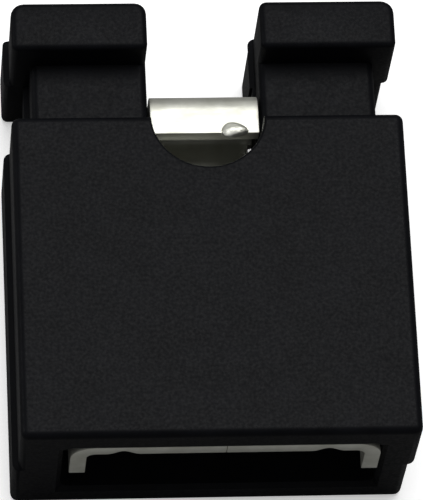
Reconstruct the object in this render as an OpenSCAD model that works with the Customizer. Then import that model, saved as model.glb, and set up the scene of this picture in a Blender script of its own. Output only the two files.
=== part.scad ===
// Two-position jumper shunt for header pins, lying on its back.
// X runs across the two pins, +Y points from the pin entry to the grip ears,
// and +Z points out of the front face.

/* [Pins it joins] */
// Centre distance of the two header pins
pitch = 2.54; // [2.5:0.01:2.58]
// Side of each square header pin
pin_side = 0.64; // [0.6:0.01:0.66]

/* [Housing] */
// Width over both positions
housing_w = 4.95; // [4.85:0.05:5.2]
// Depth from the back face to the front face
housing_d = 2.2; // [2.15:0.05:2.6]
// Height of the body, from the pin entry to its shoulder
body_h = 4.33; // [4.2:0.05:5.2]
// Thickness of the front and back walls
face_wall = 0.42; // [0.35:0.01:0.45]
// Thickness of the two side walls
side_wall = 0.5; // [0.4:0.01:0.55]
// Thickness of the roof over the cavity
roof = 0.8; // [0.6:0.05:0.9]
// Width of the gap between the two ears
gap_w = 1.46; // [1.3:0.02:1.6]
// Radius of the outer edges
edge_r = 0.1; // [0.05:0.01:0.14]
// Sideways step of the back mould half against the front half
mould_step = 0.08; // [0.02:0.01:0.1]
// Chamfer that leads the pins in at the back and side walls
entry_chamfer = 0.14; // [0.05:0.01:0.18]

/* [Grip ears] */
// Height of the finger groove below each lip
groove_h = 1.07; // [0.8:0.01:1.3]
// Depth of the groove in the front and back of each ear
groove_depth = 0.5; // [0.3:0.01:0.6]
// Depth of the groove in the outer side of each ear
groove_side = 0.22; // [0.15:0.01:0.3]
// Height of the lip on each ear
lip_h = 0.55; // [0.42:0.01:0.8]
// Radius of the outer top corner of each lip
lip_r = 0.17; // [0.1:0.01:0.22]
// Radius of the fillet under each lip
lip_fillet = 0.12; // [0.05:0.01:0.2]

/* [Contact] */
// Thickness of the strip metal
strip = 0.2; // [0.15:0.01:0.22]
// Inside radius of every bend
bend_r = 0.12; // [0.08:0.01:0.15]
// Height of the test bridge above the body's shoulder
bridge_rise = 0.5; // [0.4:0.01:0.7]
// Distance from the front face back to the face of the bridge's flap
flap_setback = 0.52; // [0.46:0.01:0.6]
// Height of the flap from its cut edge to the top of the bridge
flap_h = 0.5; // [0.42:0.01:0.6]
// Width of the break-off stub on the flap's cut edge
stub_w = 0.3; // [0.2:0.01:0.4]
// Distance of the break-off stub from the middle of the flap
stub_x = 0.37; // [0.2:0.01:0.42]
// Distance from the pin entry up to the back plate
back_lift = 0.65; // [0.5:0.05:0.9]
// Depth of the flanges at the pin entry
flange_d = 0.8; // [0.6:0.02:0.9]
// Height of the wings that wrap round to the front
wing_h = 3.1; // [2.8:0.05:3.2]
// Radius of the relief notch on each side of the neck
relief_r = 0.1; // [0.06:0.01:0.14]
// Width of the seam between the two wings
seam = 0.03; // [0.02:0.01:0.06]

/* [Springs] */
// Width of each spring tongue
tongue_w = 0.7; // [0.6:0.02:0.8]
// Length of each spring tongue
tongue_len = 2.4; // [2:0.05:2.5]
// Distance from the pin entry up to the tongue's root
tongue_lift = 0.34; // [0.3:0.02:0.4]
// How far each tongue squeezes the pin
squeeze = 0.12; // [0.05:0.01:0.18]
// Width of the slit on each side of a tongue
slit = 0.1; // [0.08:0.01:0.14]

/* [Clearances] */
// Gap between the contact and the side walls
side_play = 0.05; // [0.03:0.01:0.08]
// Gap between the contact and the front, back and roof of the cavity
seat_play = 0.03; // [0.02:0.01:0.04]
// Gap between the contact's neck and the ears
neck_play = 0.02; // [0.01:0.01:0.04]

/* [Hidden] */

eps = 0.01;
plastic = [0.05, 0.055, 0.065];
tin = [0.72, 0.72, 0.66];

lip_y = body_h + groove_h;
housing_h = lip_y + lip_h;
roof_y = body_h - roof;
parting_z = housing_d / 2;

cavity_w = housing_w - 2 * side_wall;
cavity_back = face_wall;
cavity_front = housing_d - face_wall;

contact_w = cavity_w - 2 * side_play;
contact_back = cavity_back + seat_play;
contact_front = cavity_front - seat_play;
contact_d = contact_front - contact_back;
outer_r = bend_r + strip;
shoulder_y = roof_y - seat_play;

neck_w = gap_w - mould_step - 2 * neck_play;
bridge_y = body_h + bridge_rise;
flap_y = bridge_y - flap_h;
flap_front = housing_d - flap_setback;

pin_room = contact_d - 2 * strip;
tongue_bow = pin_room - pin_side + squeeze;
tongue_steps = 16;
barb_h = 0.3;
barb_reach = side_play * 0.8;
stub_r = 0.07;
scoop = strip / 2;

// Extrudes an outline drawn in X and Z along +Y.
module upright(h) {
    translate([0, h, 0])
        rotate([90, 0, 0])
            linear_extrude(h)
                children();
}

// Extrudes an outline drawn in Y and Z across X, centred.
module across(w) {
    rotate([90, 0, 90])
        linear_extrude(w, center = true)
            children();
}

// A rectangle from corner a to corner b with its four corners rounded.
// r lists the radii from the lower left corner, anticlockwise.
module rounded(a, b, r) {
    corners = [a, [b[0], a[1]], b, [a[0], b[1]]];
    difference() {
        translate(a)
            square(b - a);
        for (i = [0:3])
            translate(corners[i])
                rotate(90 * i)
                    corner_waste(r[i]);
    }
}

// What rounding takes away from a corner whose sides run along +X and +Y.
module corner_waste(r) {
    difference() {
        translate([-eps, -eps])
            square(r + eps);
        translate([r, r])
            circle(r, $fn = 32);
    }
}

module evenly_rounded(a, b, r) {
    rounded(a, b, [r, r, r, r]);
}

// ---- housing ----

// Rounded block: the body below the ears.
module body_block() {
    half_w = housing_w / 2;
    intersection() {
        linear_extrude(housing_d)
            evenly_rounded([-half_w, 0], [half_w, body_h], edge_r);
        upright(body_h)
            evenly_rounded([-half_w, 0], [half_w, housing_d], edge_r);
        across(housing_w)
            evenly_rounded([0, 0], [body_h, housing_d], edge_r);
    }
}

// Neck of the right ear, inside the finger groove.
module ear_neck() {
    foot_y = body_h - edge_r;
    translate([0, foot_y, 0])
        upright(lip_y + edge_r - foot_y)
            evenly_rounded([gap_w / 2, groove_depth],
                           [housing_w / 2 - groove_side, housing_d - groove_depth], edge_r);
}

// Lip of the right ear, flush with the body's faces.
module ear_lip() {
    inner_x = gap_w / 2;
    outer_x = housing_w / 2;
    intersection() {
        linear_extrude(housing_d)
            rounded([inner_x, lip_y], [outer_x, housing_h], [edge_r, edge_r, lip_r, edge_r]);
        upright(housing_h)
            evenly_rounded([inner_x, 0], [outer_x, housing_d], edge_r);
        across(2 * housing_w)
            evenly_rounded([lip_y, 0], [housing_h, housing_d], edge_r);
    }
}

// Fillet where the outer side of the neck runs out into the lip.
module ear_fillet() {
    neck_x = housing_w / 2 - groove_side;
    translate([neck_x, lip_y, groove_depth + edge_r])
        linear_extrude(housing_d - 2 * groove_depth - 2 * edge_r)
            difference() {
                translate([-edge_r, -lip_fillet])
                    square([edge_r + lip_fillet, lip_fillet + edge_r]);
                translate([lip_fillet, -lip_fillet])
                    circle(lip_fillet, $fn = 32);
            }
}

module ear() {
    ear_neck();
    ear_lip();
    ear_fillet();
}

// Outside of the moulding, as if both mould halves met truly.
module moulding() {
    difference() {
        union() {
            body_block();
            ear();
            mirror([1, 0, 0])
                ear();
        }
        translate([0, body_h, -eps])
            cylinder(d = gap_w, h = housing_d + 2 * eps, $fn = 64);
    }
}

// One mould half's share of the moulding, between two heights.
module mould_half(z0, z1) {
    intersection() {
        moulding();
        translate([-housing_w, -eps, z0])
            cube([2 * housing_w, housing_h + 2 * eps, z1 - z0]);
    }
}

// Room for the contact, with the lead-in for the pins.
module cavity() {
    half_w = cavity_w / 2;
    mouth = entry_chamfer + eps;
    translate([0, -eps, 0])
        upright(roof_y + eps)
            evenly_rounded([-half_w, cavity_back], [half_w, cavity_front], bend_r);
    intersection() {
        linear_extrude(cavity_front - eps)
            polygon([[-half_w - mouth, -eps], [half_w + mouth, -eps],
                     [half_w, entry_chamfer], [-half_w, entry_chamfer]]);
        across(2 * housing_w)
            polygon([[-eps, cavity_back - mouth], [entry_chamfer, cavity_back],
                     [entry_chamfer, housing_d], [-eps, housing_d]]);
    }
}

// Slot through the roof for the contact's neck, between front and back wall.
module neck_slot() {
    half_w = (gap_w - mould_step) / 2;
    translate([-half_w, roof_y - eps, cavity_back])
        cube([2 * half_w, roof + groove_h, cavity_front - cavity_back]);
}

module housing() {
    color(plastic)
        translate([0, -housing_h / 2, 0])
            difference() {
                union() {
                    mould_half(parting_z, housing_d + eps);
                    translate([-mould_step, 0, 0])
                        mould_half(-eps, parting_z);
                }
                cavity();
                neck_slot();
            }
}

// ---- contact ----

// Section of the wrapped strip: back plate, two sides and two wings.
module wrap_outline() {
    half_w = contact_w / 2;
    inset = [strip, strip];
    difference() {
        evenly_rounded([-half_w, contact_back], [half_w, contact_front], outer_r);
        evenly_rounded([-half_w, contact_back] + inset, [half_w, contact_front] - inset, bend_r);
        translate([-seam / 2, contact_front - strip - eps])
            square([seam, strip + 2 * eps]);
    }
}

// Section of the folded neck: leg up the back, bridge, and flap down the front.
module fold_outline() {
    leg_foot = shoulder_y - strip;
    difference() {
        rounded([leg_foot, contact_back], [bridge_y, flap_front], [0, outer_r, outer_r, 0]);
        rounded([leg_foot - 1, contact_back + strip], [bridge_y - strip, flap_front - strip],
                [0, bend_r, bend_r, 0]);
        translate([leg_foot - 1, contact_back + strip])
            square([1 + flap_y - leg_foot, housing_d]);
    }
}

// Relief notches in the back plate's shoulder, one on each side of the neck.
module neck_reliefs() {
    for (side = [-1, 1])
        translate([side * (neck_w / 2 + relief_r), shoulder_y, contact_back - eps])
            cylinder(r = relief_r, h = strip + 2 * eps, $fn = 24);
}

// Depth of a tongue's bow at a fraction t of its length.
function bow(t) = tongue_bow * (1 - cos(360 * t)) / 2;

// Section of a tongue, bowed from the wing towards the back plate.
module tongue_outline() {
    face = [for (i = [0:tongue_steps])
        let (t = i / tongue_steps) [tongue_len * t, contact_front - bow(t)]];
    inside = [for (i = [tongue_steps:-1:0])
        let (t = i / tongue_steps) [tongue_len * t, contact_front - strip - bow(t)]];
    translate([tongue_lift, 0])
        polygon(concat(face, inside));
}

// Window that frees a tongue and its slits from the wing.
module tongue_window() {
    w = tongue_w + 2 * slit;
    translate([-w / 2, tongue_lift, contact_front - strip - eps])
        cube([w, tongue_len, strip + 2 * eps]);
}

// Coined lead-in on the inner edge of the wing, below a tongue.
module tongue_scoop() {
    across(pin_side)
        polygon([[-eps, contact_front - strip - eps], [scoop, contact_front - strip - eps],
                 [-eps, contact_front - strip + scoop]]);
}

// Everything below the back plate, behind the flanges, with a rounded corner.
module entry_cut() {
    across(2 * housing_w)
        rounded([-1, -1], [back_lift, contact_front - flange_d], [0, 0, bend_r, 0]);
}

// Retaining barb on the right side, sloped so that it slides in from the entry.
module barb() {
    x = contact_w / 2;
    y = shoulder_y - outer_r - 2 * barb_h;
    translate([0, 0, contact_back + outer_r])
        linear_extrude(contact_d - 2 * outer_r)
            polygon([[x - strip / 2, y], [x + barb_reach, y], [x, y + barb_h],
                     [x - strip / 2, y + barb_h]]);
}

// Stub of the carrier tab that was broken off the flap's edge.
module carrier_stub() {
    bar = stub_w - 2 * stub_r;
    translate([stub_x, flap_y + stub_r / 2, flap_front - strip / 4]) {
        rotate([0, 90, 0])
            cylinder(r = stub_r, h = bar, center = true, $fn = 24);
        for (side = [-1, 1])
            translate([side * bar / 2, 0, 0])
                sphere(stub_r, $fn = 24);
    }
}

module contact() {
    color(tin)
        translate([0, -housing_h / 2, 0]) {
            difference() {
                upright(shoulder_y)
                    wrap_outline();
                translate([-housing_w, wing_h, contact_back + outer_r])
                    cube([2 * housing_w, housing_h, housing_d]);
                entry_cut();
                neck_reliefs();
                for (side = [-1, 1])
                    translate([side * pitch / 2, 0, 0]) {
                        tongue_window();
                        tongue_scoop();
                    }
            }
            for (side = [-1, 1])
                translate([side * pitch / 2, 0, 0])
                    across(tongue_w)
                        tongue_outline();
            across(neck_w)
                fold_outline();
            for (flip = [0, 1])
                mirror([flip, 0, 0])
                    barb();
            carrier_stub();
        }
}

housing();
contact();
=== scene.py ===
import math

import bmesh
import bpy
from mathutils import Matrix, Vector, noise


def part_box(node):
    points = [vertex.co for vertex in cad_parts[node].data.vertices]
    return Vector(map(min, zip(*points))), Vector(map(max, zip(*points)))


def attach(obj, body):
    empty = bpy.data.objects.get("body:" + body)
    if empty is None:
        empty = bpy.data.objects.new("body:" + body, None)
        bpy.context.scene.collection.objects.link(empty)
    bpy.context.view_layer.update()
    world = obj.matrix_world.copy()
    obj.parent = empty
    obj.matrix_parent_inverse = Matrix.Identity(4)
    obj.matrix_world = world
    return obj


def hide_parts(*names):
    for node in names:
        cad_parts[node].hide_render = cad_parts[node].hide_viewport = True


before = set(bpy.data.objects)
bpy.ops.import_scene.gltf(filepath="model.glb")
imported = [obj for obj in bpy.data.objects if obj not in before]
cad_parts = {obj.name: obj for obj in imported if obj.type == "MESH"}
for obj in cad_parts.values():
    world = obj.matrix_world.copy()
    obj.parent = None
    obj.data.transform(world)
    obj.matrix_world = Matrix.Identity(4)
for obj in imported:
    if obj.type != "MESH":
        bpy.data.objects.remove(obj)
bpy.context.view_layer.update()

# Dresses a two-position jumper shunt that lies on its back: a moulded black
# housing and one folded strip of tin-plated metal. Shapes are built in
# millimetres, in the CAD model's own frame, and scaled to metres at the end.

MM = 0.001

# ---- sizes in millimetres ----

housing_low, housing_high = (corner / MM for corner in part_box("housing"))
entry_y = housing_low.y
top_y = housing_high.y
back_z = housing_low.z
front_z = housing_high.z

# housing
housing_w = 4.95
mould_step = 0.07
body_h = 4.35
lip_h = 0.66
groove_depth = 0.49
groove_side = 0.28
lip_inset = 0.03
face_wall = 0.38
back_wall = 0.42
side_wall = 0.5
roof = 0.8
gap_w = 1.44
edge_r = 0.1
lip_r = 0.17
notch_soften = 0.04
notch_play = 0.004
entry_chamfer = 0.06
cavity_shift = 0.04
ledge = 0.012

# contact
pitch = 2.54
strip = 0.2
bend_r = 0.12
fold_r = 0.07
bridge_rise = 0.58
flap_setback = 0.52
flap_h = 0.6
neck_w = 1.38
leg_trim = 0.06
back_lift = 0.65
flange_d = 0.8
wing_h = 3.1
relief = 0.1
seam = 0.004
tongue_w = 0.7
tongue_len = 2.4
tongue_lift = 0.34
tongue_bow = 0.38
slit = 0.1
side_play = 0.05
seat_play = 0.02
contact_shift = 0.08
scoop_w = 0.4
scoop = 0.1
scoop_h = 0.12
soft_edge = 0.022
burr_w = 0.35
burr_h = 0.2
burr_d = 0.13
burr_x = 0.385

shoulder_y = entry_y + body_h
lip_y = top_y - lip_h
parting_z = back_z + (front_z - back_z) / 2
cavity_w = housing_w - 2 * side_wall
cavity_back = back_z + back_wall
cavity_front = front_z - face_wall
roof_y = shoulder_y - roof

ROUND_STEPS = 5
NOTCH_STEPS = 72
OVER = 0.05


# ---- mesh helpers ----

def to_object(name, bm):
    """Turns a bmesh into an object in the scene."""
    bmesh.ops.recalc_face_normals(bm, faces=bm.faces)
    mesh = bpy.data.meshes.new(name)
    bm.to_mesh(mesh)
    bm.free()
    made = bpy.data.objects.new(name, mesh)
    bpy.context.scene.collection.objects.link(made)
    return made


def block(low, high):
    """A bmesh box between two corners."""
    bm = bmesh.new()
    bmesh.ops.create_cube(bm, size=1.0)
    low, high = Vector(low), Vector(high)
    bmesh.ops.scale(bm, vec=high - low, verts=bm.verts)
    bmesh.ops.translate(bm, vec=(low + high) / 2, verts=bm.verts)
    return bm


def round_edges(bm, radius, wanted=lambda edge: True, steps=ROUND_STEPS):
    """Rounds the edges of bm that fold by more than 40 degrees and are wanted."""
    sharp = [e for e in bm.edges
             if len(e.link_faces) == 2 and e.calc_face_angle() > math.radians(40) and wanted(e)]
    bmesh.ops.bevel(bm, geom=sharp, offset=radius, segments=steps, profile=0.5, affect="EDGES")


def runs_along(edge, axis):
    """Whether an edge is parallel to axis 0, 1 or 2."""
    way = (edge.verts[1].co - edge.verts[0].co).normalized()
    return abs(way[axis]) > 0.99


def settle(target):
    """Bakes an object's modifiers into its mesh."""
    graph = bpy.context.evaluated_depsgraph_get()
    baked = bpy.data.meshes.new_from_object(target.evaluated_get(graph))
    old = target.data
    target.modifiers.clear()
    target.data = baked
    bpy.data.meshes.remove(old)


def combine(target, other, operation):
    """Adds other to target, or takes it away, and deletes other."""
    change = target.modifiers.new("combine", "BOOLEAN")
    change.operation = operation
    change.solver = "EXACT"
    change.object = other
    settle(target)
    bpy.data.meshes.remove(other.data)


def slice_mesh(bm, axis, places):
    """Cuts bm along planes across one axis, without parting it."""
    way = Vector((0, 0, 0))
    way[axis] = 1
    for place in places:
        everything = bm.verts[:] + bm.edges[:] + bm.faces[:]
        bmesh.ops.bisect_plane(bm, geom=everything, plane_co=way * place, plane_no=way,
                               dist=1e-5)


def smooth_shading(target, angle):
    """Shades smoothly, apart from edges that fold by more than angle degrees."""
    mesh = target.data
    mesh.polygons.foreach_set("use_smooth", [True] * len(mesh.polygons))
    mesh.set_sharp_from_angle(angle=math.radians(angle))
    weighted = target.modifiers.new("weighted normals", "WEIGHTED_NORMAL")
    weighted.keep_sharp = True
    weighted.weight = 100


# ---- housing ----

def body_block():
    half_w = housing_w / 2
    bm = block((-half_w, entry_y, back_z), (half_w, shoulder_y, front_z))
    round_edges(bm, edge_r)
    return to_object("body", bm)


def ear_neck(side):
    x = sorted((side * gap_w / 2, side * (housing_w / 2 - groove_side)))
    bm = block((x[0], shoulder_y - 2 * edge_r, back_z + groove_depth),
               (x[1], lip_y + edge_r, front_z - groove_depth))
    round_edges(bm, edge_r, lambda e: runs_along(e, 1))
    return to_object("neck", bm)


def ear_lip(side, z0, z1, inner_r, outer_r):
    """One mould half's share of a lip, with its own radii along the top's two edges."""
    x = sorted((side * gap_w / 2, side * (housing_w / 2 - lip_inset)))
    bm = block((x[0], lip_y, z0), (x[1], top_y, z1))

    def top_edge(edge, outer):
        middle = (edge.verts[0].co + edge.verts[1].co) / 2
        is_outer = side * middle.x > (gap_w + housing_w) / 4
        return runs_along(edge, 2) and middle.y > lip_y + lip_h / 2 and is_outer == outer

    def in_view(edge):
        at_face = max(v.co.z for v in edge.verts) > front_z - 1e-4 or \
            min(v.co.z for v in edge.verts) < back_z + 1e-4
        return at_face or runs_along(edge, 2)

    round_edges(bm, inner_r, lambda e: top_edge(e, False))
    round_edges(bm, outer_r, lambda e: top_edge(e, True))
    round_edges(bm, edge_r * 0.8, in_view)
    return to_object("lip", bm)


def notch_cutter():
    """A bar along Z that flares out at both faces, where the notch's edge is softened."""
    radius = gap_w / 2 - notch_play
    arc = [(back_z + notch_soften * (1 - math.sin(a)), radius + notch_soften * (1 - math.cos(a)))
           for a in (math.radians(15 * i) for i in range(7))]
    rings = [(back_z - 0.3, arc[-1][1])] + arc[::-1]
    rings += [(back_z + front_z - z, r) for z, r in rings[::-1]]
    bm = bmesh.new()
    loops = []
    for z, r in rings:
        loops.append([bm.verts.new((r * math.cos(math.tau * i / NOTCH_STEPS),
                                    shoulder_y + r * math.sin(math.tau * i / NOTCH_STEPS), z))
                      for i in range(NOTCH_STEPS)])
    for low, high in zip(loops, loops[1:]):
        for i in range(NOTCH_STEPS):
            j = (i + 1) % NOTCH_STEPS
            bm.faces.new((low[i], low[j], high[j], high[i]))
    bm.faces.new(loops[0])
    bm.faces.new(loops[-1])
    return to_object("notch", bm)


def cavity_cutter():
    half_w = cavity_w / 2
    bm = block((cavity_shift - half_w, entry_y - 0.5, cavity_back),
               (cavity_shift + half_w, roof_y, cavity_front))
    round_edges(bm, bend_r, lambda e: runs_along(e, 1))
    return to_object("cavity", bm)


def funnel_cutter():
    """The lead-in at the pin entry: chamfers at the two sides and the back."""
    half_w = cavity_w / 2
    wide = half_w + entry_chamfer + OVER
    deep = cavity_back - entry_chamfer - OVER
    low = entry_y - OVER
    high = entry_y + entry_chamfer
    bm = bmesh.new()
    mouth = [(cavity_shift - wide, low, deep), (cavity_shift + wide, low, deep),
             (cavity_shift + wide, low, cavity_front - OVER),
             (cavity_shift - wide, low, cavity_front - OVER)]
    throat = [(cavity_shift - half_w, high, cavity_back),
              (cavity_shift + half_w, high, cavity_back),
              (cavity_shift + half_w, high, cavity_front - OVER),
              (cavity_shift - half_w, high, cavity_front - OVER)]
    outer = [bm.verts.new(p) for p in mouth]
    inner = [bm.verts.new(p) for p in throat]
    bm.faces.new(outer)
    bm.faces.new(inner)
    for i in range(4):
        j = (i + 1) % 4
        bm.faces.new((outer[i], outer[j], inner[j], inner[i]))
    return to_object("funnel", bm)


def slot_cutter():
    half_w = gap_w / 2 - mould_step / 2
    return to_object("slot", block((-half_w, roof_y - OVER, cavity_back),
                                   (half_w, lip_y - OVER, cavity_front)))


def shift_back_half(target):
    """Moves the back mould half sideways by the step, over a thin ledge."""
    bm = bmesh.new()
    bm.from_mesh(target.data)
    slice_mesh(bm, 2, (parting_z - ledge, parting_z + ledge))
    for vert in bm.verts:
        share = min(max((parting_z + ledge - vert.co.z) / (2 * ledge), 0), 1)
        vert.co.x -= mould_step * share
    bm.to_mesh(target.data)
    bm.free()


def make_housing():
    made = body_block()
    for side in (-1, 1):
        combine(made, ear_neck(side), "UNION")
    combine(made, ear_lip(-1, parting_z - ledge, front_z, 0.15, lip_r), "UNION")
    combine(made, ear_lip(-1, back_z, parting_z + ledge, 0.1, 0.06), "UNION")
    combine(made, ear_lip(1, parting_z - ledge, front_z, 0.1, lip_r), "UNION")
    combine(made, ear_lip(1, back_z, parting_z + ledge, 0.2, 0.1), "UNION")
    combine(made, notch_cutter(), "DIFFERENCE")
    shift_back_half(made)
    combine(made, cavity_cutter(), "DIFFERENCE")
    combine(made, funnel_cutter(), "DIFFERENCE")
    combine(made, slot_cutter(), "DIFFERENCE")
    made.name = made.data.name = "housing_moulding"
    made.data.transform(Matrix.Scale(MM, 4))
    smooth_shading(made, 35)
    return made


# ---- contact ----

def walk(segments, distance):
    """The point at a distance along a path of straight runs and arcs.

    Each segment is (start, heading, length, radius): a straight run where
    radius is 0, and otherwise an arc that turns left."""
    for start, heading, length, radius in segments:
        if distance <= length or segments[-1][0] is start:
            break
        distance -= length
    if radius == 0:
        return start + distance * Vector((math.cos(heading), math.sin(heading)))
    turn = distance / radius
    centre = start + radius * Vector((-math.sin(heading), math.cos(heading)))
    return centre + radius * Vector((math.sin(heading + turn), -math.cos(heading + turn)))


def path(start, heading, steps):
    """Lays straight runs (length, 0) and arcs (length, radius) end to end."""
    segments = []
    point = Vector(start)
    for length, radius in steps:
        segments.append((point, heading, length, radius))
        point = walk(segments[-1:], length)
        if radius:
            heading += length / radius
    return segments


half_contact = cavity_w / 2 - side_play
contact_back = cavity_back + seat_play
contact_front = cavity_front - seat_play
plate_z = contact_back + strip / 2
wing_z = contact_front - strip / 2
bend_mid = bend_r + strip / 2
quarter_bend = math.pi / 2 * bend_mid
plate_run = half_contact - strip / 2 - bend_mid
side_run = wing_z - plate_z - 2 * bend_mid
wing_run = plate_run - seam / 2
wrap = path((0, plate_z), 0, [(plate_run, 0), (quarter_bend, bend_mid), (side_run, 0),
                              (quarter_bend, bend_mid), (wing_run, 0)])
side_u = plate_run + quarter_bend
flange_u = side_u + (contact_front - flange_d - plate_z - bend_mid)
wing_u = side_u + side_run + quarter_bend
wrap_end = wing_u + wing_run
tongue_u = wing_u + plate_run - pitch / 2

contact_top = roof_y - seat_play
fold_mid = fold_r + strip / 2
quarter_fold = math.pi / 2 * fold_mid
flap_z = front_z - flap_setback - strip / 2
bridge_top = shoulder_y + bridge_rise - strip / 2
leg_run = bridge_top - fold_mid - contact_top
top_run = flap_z - plate_z - 2 * fold_mid
flap_run = flap_h - strip / 2 - fold_mid
fold = path((contact_top, plate_z), 0, [(leg_run, 0), (quarter_fold, fold_mid), (top_run, 0),
                                        (quarter_fold, fold_mid), (flap_run, 0)])
fold_end = leg_run + 2 * quarter_fold + top_run + flap_run


def spread(marks, step):
    """The marks in order, with even steps in between them."""
    marks = sorted(set(round(m, 5) for m in marks))
    out = []
    for low, high in zip(marks, marks[1:]):
        count = max(1, round((high - low) / step))
        out += [low + (high - low) * i / count for i in range(count)]
    return out + [marks[-1]]


neck_left = -neck_w / 2 - contact_shift
neck_right = neck_w / 2 - contact_shift
leg_right = neck_right - leg_trim


def in_blank(u, v):
    """Whether the flat blank has metal at a place."""
    wide = abs(u)
    if v > contact_top:
        past = v - contact_top
        right = leg_right if past < leg_run else neck_right
        return neck_left < u < right
    if wide < flange_u and v < entry_y + back_lift:
        return False
    if wide > side_u + side_run and v > entry_y + wing_h:
        return False
    if v > contact_top - relief:
        beside = neck_left - relief < u < neck_left or leg_right < u < leg_right + relief
        if beside or wide > plate_run:
            return False
    off = abs(wide - tongue_u)
    along = v - entry_y - tongue_lift
    if tongue_w / 2 < off < tongue_w / 2 + slit and 0 < along < tongue_len:
        return False
    return True


def fold_up(u, v):
    """Where a place on the flat blank ends up once the strip is folded."""
    if v > contact_top + 1e-4:
        spot = walk(fold, v - contact_top)
        return Vector((u + contact_shift, spot.x, spot.y))
    spot = walk(wrap, abs(u))
    x = math.copysign(spot.x, u) if u else 0.0
    z = spot.y
    off = abs(abs(u) - tongue_u)
    along = (v - entry_y - tongue_lift) / tongue_len
    if off < tongue_w / 2 + 1e-3 and 0 < along < 1:
        z -= tongue_bow * (1 - math.cos(math.tau * along)) / 2
    return Vector((x + contact_shift, v, z))


def strip_sheet():
    """The folded strip's middle surface."""
    marks = [0, neck_left, neck_right, leg_right, neck_left - relief, leg_right + relief]
    for u in (plate_run, side_u, flange_u, side_u + side_run, wing_u, wrap_end,
              tongue_u - tongue_w / 2, tongue_u + tongue_w / 2,
              tongue_u - tongue_w / 2 - slit, tongue_u + tongue_w / 2 + slit):
        marks += [u, -u]
    us = spread(marks, 0.05)
    vs = spread([entry_y, entry_y + 0.06, entry_y + tongue_lift,
                 entry_y + tongue_lift + tongue_len, entry_y + back_lift, entry_y + wing_h,
                 contact_top - relief, contact_top, contact_top + leg_run,
                 contact_top + leg_run + quarter_fold,
                 contact_top + leg_run + quarter_fold + top_run,
                 contact_top + fold_end - flap_run, contact_top + fold_end], 0.06)
    bm = bmesh.new()
    made = {}

    def vert(i, j):
        if (i, j) not in made:
            made[i, j] = bm.verts.new(fold_up(us[i], vs[j]))
        return made[i, j]

    for i in range(len(us) - 1):
        for j in range(len(vs) - 1):
            if in_blank((us[i] + us[i + 1]) / 2, (vs[j] + vs[j + 1]) / 2):
                bm.faces.new((vert(i, j), vert(i + 1, j), vert(i + 1, j + 1), vert(i, j + 1)))
    return to_object("strip", bm)


burr_spot = Vector((burr_x, shoulder_y + bridge_rise - flap_h + 0.02, front_z - flap_setback))


def break_off_burr():
    """The torn stub of the carrier tab: a flattened lump on the flap's cut edge."""
    bm = bmesh.new()
    bmesh.ops.create_icosphere(bm, subdivisions=4, radius=1.0)
    for vert in bm.verts:
        rough = 1 + 0.08 * noise.noise(vert.co * 1.7) + 0.05 * noise.noise(vert.co * 6)
        vert.co = vert.co * rough
        along = vert.co.x
        vert.co.x *= burr_w / 2
        vert.co.y *= burr_h / 2 * (1 - 0.35 * along)
        vert.co.z *= burr_d / 2
        vert.co.y += 0.02 * math.cos(along * 1.5)
        vert.co += burr_spot
    return to_object("burr", bm)


def coin_entry(target):
    """Thins the wing's inner edge where the pins go in, and rounds it there."""
    for vert in target.data.vertices:
        inner = contact_front - strip * 0.55 > vert.co.z > contact_front - strip * 1.6
        if not inner or vert.co.y > entry_y + scoop_h:
            continue
        for side in (-1, 1):
            off = abs(vert.co.x - contact_shift - side * pitch / 2) / (scoop_w / 2)
            if off < 1:
                low = 1 - max(0, vert.co.y - entry_y) / scoop_h
                vert.co.z += scoop * low * (1 + math.cos(math.pi * off)) / 2


def make_contact():
    made = strip_sheet()
    thick = made.modifiers.new("thickness", "SOLIDIFY")
    thick.thickness = strip
    thick.offset = 0
    thick.use_even_offset = True
    # The rims take the second material: cut edges of bare base metal with painted shade.
    thick.material_offset_rim = 1
    settle(made)
    soften = made.modifiers.new("soften", "BEVEL")
    soften.width = soft_edge
    soften.segments = 2
    soften.limit_method = "ANGLE"
    soften.angle_limit = math.radians(50)
    settle(made)
    coin_entry(made)
    combine(made, break_off_burr(), "UNION")
    made.name = made.data.name = "contact_strip"
    made.data.transform(Matrix.Scale(MM, 4))
    smooth_shading(made, 40)
    return made


# ---- materials ----

def shader(name):
    made = bpy.data.materials.new(name)
    made.use_nodes = True
    nodes = made.node_tree.nodes
    return made, nodes, made.node_tree.links, nodes["Principled BSDF"]


def grain(nodes, links, scale, detail, stretch=(1, 1, 1)):
    """Noise fixed to the object; scale counts its features per metre."""
    place = nodes.new("ShaderNodeTexCoord")
    sized = nodes.new("ShaderNodeMapping")
    sized.inputs["Scale"].default_value = stretch
    texture = nodes.new("ShaderNodeTexNoise")
    texture.inputs["Scale"].default_value = scale
    texture.inputs["Detail"].default_value = detail
    links.new(place.outputs["Object"], sized.inputs["Vector"])
    links.new(sized.outputs["Vector"], texture.inputs["Vector"])
    return texture.outputs["Fac"]


# Share of a noise texture's range that its values mostly fill.
NOISE_LOW = 0.3
NOISE_HIGH = 0.7


def remap(nodes, links, value, low, high):
    """Maps a noise value to a range."""
    ranged = nodes.new("ShaderNodeMapRange")
    ranged.inputs["From Min"].default_value = NOISE_LOW
    ranged.inputs["From Max"].default_value = NOISE_HIGH
    ranged.inputs["To Min"].default_value = low
    ranged.inputs["To Max"].default_value = high
    links.new(value, ranged.inputs["Value"])
    return ranged.outputs["Result"]


def tint(nodes, links, value, dark, light):
    """Blends two colours by a noise value."""
    ramp = nodes.new("ShaderNodeValToRGB")
    ramp.color_ramp.elements[0].position = NOISE_LOW
    ramp.color_ramp.elements[0].color = (*dark, 1)
    ramp.color_ramp.elements[1].position = NOISE_HIGH
    ramp.color_ramp.elements[1].color = (*light, 1)
    links.new(value, ramp.inputs["Fac"])
    return ramp.outputs["Color"]


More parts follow.
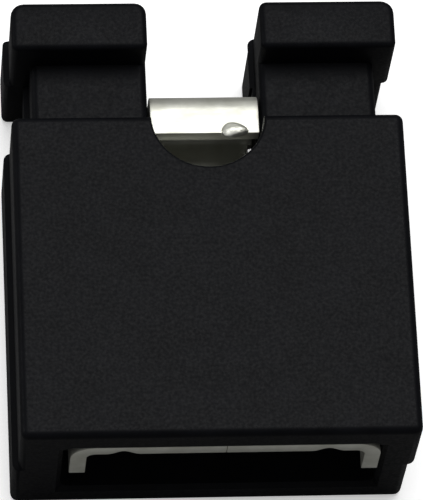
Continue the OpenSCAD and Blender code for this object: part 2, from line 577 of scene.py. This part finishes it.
def bump(nodes, links, height, distance, strength, under=None):
    """A bump of a depth in metres, on top of another one."""
    made = nodes.new("ShaderNodeBump")
    made.inputs["Strength"].default_value = strength
    made.inputs["Distance"].default_value = distance
    links.new(height, made.inputs["Height"])
    if under is not None:
        links.new(under, made.inputs["Normal"])
    return made.outputs["Normal"]


def plastic_material():
    made, nodes, links, surface = shader("housing_black")
    fine = grain(nodes, links, 26000, 3)
    broad = grain(nodes, links, 2600, 4)
    links.new(tint(nodes, links, broad, (0.0018, 0.002, 0.0028), (0.0034, 0.0037, 0.005)),
              surface.inputs["Base Color"])
    links.new(remap(nodes, links, fine, 0.4, 0.58), surface.inputs["Roughness"])
    waves = bump(nodes, links, broad, 0.000008, 0.4)
    links.new(bump(nodes, links, fine, 0.0000025, 0.5, waves), surface.inputs["Normal"])
    surface.inputs["Specular IOR Level"].default_value = 0.07
    return made


def tin_material():
    made, nodes, links, surface = shader("contact_tin")
    rolled = grain(nodes, links, 9000, 5, (0.15, 1, 1))
    broad = grain(nodes, links, 3000, 5)
    links.new(tint(nodes, links, broad, (0.6, 0.6, 0.53), (0.76, 0.765, 0.7)),
              surface.inputs["Base Color"])
    links.new(remap(nodes, links, rolled, 0.46, 0.6), surface.inputs["Roughness"])
    waves = bump(nodes, links, broad, 0.000015, 0.5)
    links.new(bump(nodes, links, rolled, 0.000003, 0.5, waves), surface.inputs["Normal"])
    surface.inputs["Metallic"].default_value = 1
    return made


def shaded_cut_edge_material():
    made, nodes, links, surface = shader("contact_cut_edge_painted_shade")
    torn = grain(nodes, links, 14000, 5, (1, 1, 0.2))
    # Painted shade: bare base metal at the cut, painted far darker than that metal is, to stand
    # in for the rims' shade.
    links.new(tint(nodes, links, torn, (0.1, 0.09, 0.065), (0.24, 0.225, 0.18)),
              surface.inputs["Base Color"])
    links.new(remap(nodes, links, torn, 0.45, 0.65), surface.inputs["Roughness"])
    links.new(bump(nodes, links, torn, 0.000006, 0.6), surface.inputs["Normal"])
    surface.inputs["Metallic"].default_value = 1
    return made


# ---- the object ----

housing = make_housing()
housing.data.materials.clear()
housing.data.materials.append(plastic_material())
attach(housing, "root")
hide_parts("housing")

contact = make_contact()
contact.data.materials.clear()
contact.data.materials.append(tin_material())
contact.data.materials.append(shaded_cut_edge_material())
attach(contact, "root")
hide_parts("contact")

# ---- stage ----


def make_floor():
    """A white floor that throws less light back at the part than it shows."""
    bm = bmesh.new()
    bmesh.ops.create_grid(bm, x_segments=1, y_segments=1, size=0.4)
    floor = to_object("floor", bm)
    material, nodes, links, surface = shader("floor_white")
    seen = nodes.new("ShaderNodeLightPath")
    shade = nodes.new("ShaderNodeMix")
    shade.data_type = "RGBA"
    shade.inputs["A"].default_value = (0.25, 0.25, 0.25, 1)
    shade.inputs["B"].default_value = (1, 1, 1, 1)
    links.new(seen.outputs["Is Camera Ray"], shade.inputs["Factor"])
    links.new(shade.outputs["Result"], surface.inputs["Base Color"])
    glow = nodes.new("ShaderNodeMath")
    glow.operation = "MULTIPLY"
    glow.inputs[1].default_value = 0.4
    links.new(seen.outputs["Is Camera Ray"], glow.inputs[0])
    links.new(glow.outputs["Value"], surface.inputs["Emission Strength"])
    surface.inputs["Emission Color"].default_value = (1, 1, 1, 1)
    surface.inputs["Roughness"].default_value = 0.9
    surface.inputs["Specular IOR Level"].default_value = 0.1
    floor.data.materials.append(material)


def softbox(name, place, size, level):
    """An area lamp aimed at the part that lights it to a share of plain level."""
    data = bpy.data.lights.new(name, "AREA")
    data.shape = "DISK"
    data.size = size
    place = Vector(place)
    data.energy = level * math.pi ** 2 * place.length_squared
    lamp = bpy.data.objects.new(name, data)
    lamp.location = place
    lamp.rotation_euler = (-place).to_track_quat("-Z", "Y").to_euler()
    bpy.context.scene.collection.objects.link(lamp)


def make_world(level):
    world = bpy.data.worlds.new("studio")
    world.use_nodes = True
    world.node_tree.nodes["Background"].inputs["Color"].default_value = (1, 1, 1, 1)
    world.node_tree.nodes["Background"].inputs["Strength"].default_value = level
    bpy.context.scene.world = world


def make_camera():
    """Looks down on the front face, from below the pin entry and a little from the left."""
    pan = -4.979
    tilt = 23.995
    roll = -2.756
    distance = 61.732
    target = Vector((0.0591, -0.0068, 1.0909))
    data = bpy.data.cameras.new("camera")
    data.lens = 350.48
    data.sensor_width = 36
    data.clip_start = 0.001
    data.clip_end = 2
    camera = bpy.data.objects.new("camera", data)
    turn = Matrix.Rotation(math.radians(pan), 4, "Y") @ \
        Matrix.Rotation(math.radians(tilt), 4, "X") @ \
        Matrix.Rotation(math.radians(roll), 4, "Z")
    camera.matrix_world = Matrix.Translation(target * MM) @ turn @ \
        Matrix.Translation((0, 0, distance * MM))
    bpy.context.scene.collection.objects.link(camera)
    bpy.context.scene.camera = camera


make_floor()
make_world(0.22)
softbox("top_light", (0.01, 0.035, 0.12), 0.1, 0.75)
softbox("left_light", (-0.12, 0.03, 0.04), 0.05, 0.12)
make_camera()
bpy.context.scene.view_settings.view_transform = "Standard"
